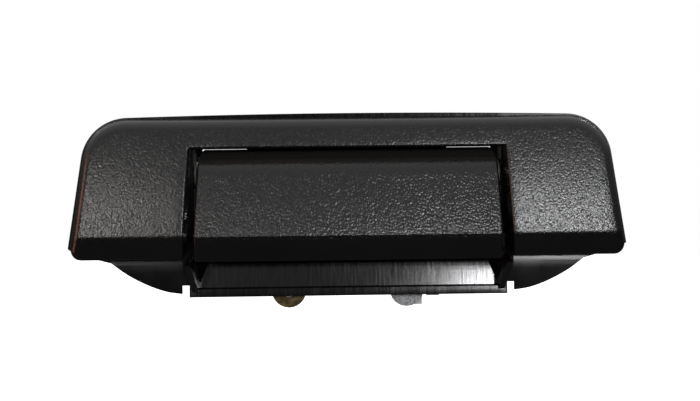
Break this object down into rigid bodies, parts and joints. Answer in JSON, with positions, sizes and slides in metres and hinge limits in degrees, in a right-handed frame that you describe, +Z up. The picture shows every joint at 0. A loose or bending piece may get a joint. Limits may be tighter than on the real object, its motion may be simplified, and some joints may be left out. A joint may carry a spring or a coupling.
{
  "type": "tailgate door handle",
  "caption": "Centre-pull tailgate handle: a grained bezel, a sprung pull flap over a finger pocket, and twin bell cranks with rod clips for the latch rods.",
  "frame": {"origin": "on the tailgate skin, in the middle of the gasket's rear face behind the top rail", "axes": "+X across the vehicle along the handle's length, +Y into the tailgate, +Z up; the flap faces -Y"},
  "size_m": [0.245, 0.0522, 0.0903],
  "materials": {
    "grained_black_plastic": "black, sparkly moulded grain, satin",
    "smooth_black_plastic": "black, smooth and semi-gloss",
    "black_foam_rubber": "black closed-cell foam",
    "black_rubber": "black moulded rubber",
    "black_coated_steel": "black electro-coat on steel",
    "yellow_zinc_steel": "zinc with a yellow passivate, patchy",
    "bright_zinc_steel": "bright zinc plating",
    "spring_steel": "oiled spring steel",
    "natural_nylon": "natural off-white nylon"
  },
  "bodies": {
    "root": {"bezel": "grained_black_plastic", "housing": "smooth_black_plastic", "seat_gasket": "black_foam_rubber", "support_plate": "black_coated_steel", "hinge_pin": "bright_zinc_steel", "pin_clip": "spring_steel", "return_spring": "spring_steel", "crank_pivot_left": "bright_zinc_steel", "crank_washer_left": "natural_nylon", "hinge_bush_left": "natural_nylon", "mount_stud_left": "bright_zinc_steel", "bump_stop_left": "black_rubber", "bezel_screw_left_upper": "bright_zinc_steel", "plate_screw_left_upper": "bright_zinc_steel", "bezel_screw_left_lower": "bright_zinc_steel", "plate_screw_left_lower": "bright_zinc_steel", "crank_pivot_right": "bright_zinc_steel", "crank_washer_right": "natural_nylon", "hinge_bush_right": "natural_nylon", "mount_stud_right": "bright_zinc_steel", "bump_stop_right": "black_rubber", "bezel_screw_right_upper": "bright_zinc_steel", "plate_screw_right_upper": "bright_zinc_steel", "bezel_screw_right_lower": "bright_zinc_steel", "plate_screw_right_lower": "bright_zinc_steel"},
    "flap": {"paddle": "grained_black_plastic", "pull_lever": "black_coated_steel", "paddle_screw_1": "bright_zinc_steel", "paddle_screw_2": "bright_zinc_steel", "paddle_screw_3": "bright_zinc_steel", "paddle_screw_4": "bright_zinc_steel"},
    "crank_left": {"bell_crank_left": "yellow_zinc_steel"},
    "crank_right": {"bell_crank_right": "bright_zinc_steel"},
    "clip_left": {"rod_clip_left": "natural_nylon"},
    "clip_right": {"rod_clip_right": "natural_nylon"}
  },
  "joints": [
    {"name": "paddle_pull", "type": "hinge", "parent": "root", "child": "flap", "pos_m": [0, 0.003, -0.0205], "axis": [-1, 0, 0], "range_deg": [0, 32], "stiffness_Nm_per_rad": 0.25, "springref_deg": -34.38},
    {"name": "crank_turn_right", "type": "hinge", "parent": "root", "child": "crank_right", "pos_m": [0.024, 0.0224, -0.0245], "axis": [0, 1, 0], "range_deg": [0, 15]},
    {"name": "crank_turn_left", "type": "hinge", "parent": "root", "child": "crank_left", "pos_m": [-0.024, 0.0224, -0.0245], "axis": [0, -1, 0], "range_deg": [0, 15]},
    {"name": "clip_swing_right", "type": "hinge", "parent": "crank_right", "child": "clip_right", "pos_m": [0.0275, 0.0244, -0.0759], "axis": [0, -1, 0], "range_deg": [0, 75]},
    {"name": "clip_swing_left", "type": "hinge", "parent": "crank_left", "child": "clip_left", "pos_m": [-0.0275, 0.0244, -0.0759], "axis": [0, -1, 0], "range_deg": [0, 75]}
  ],
  "couplings": [
    {"joint": "crank_turn_right", "follows": "paddle_pull", "ratio": 0.46},
    {"joint": "crank_turn_left", "follows": "paddle_pull", "ratio": 0.46}
  ]
}
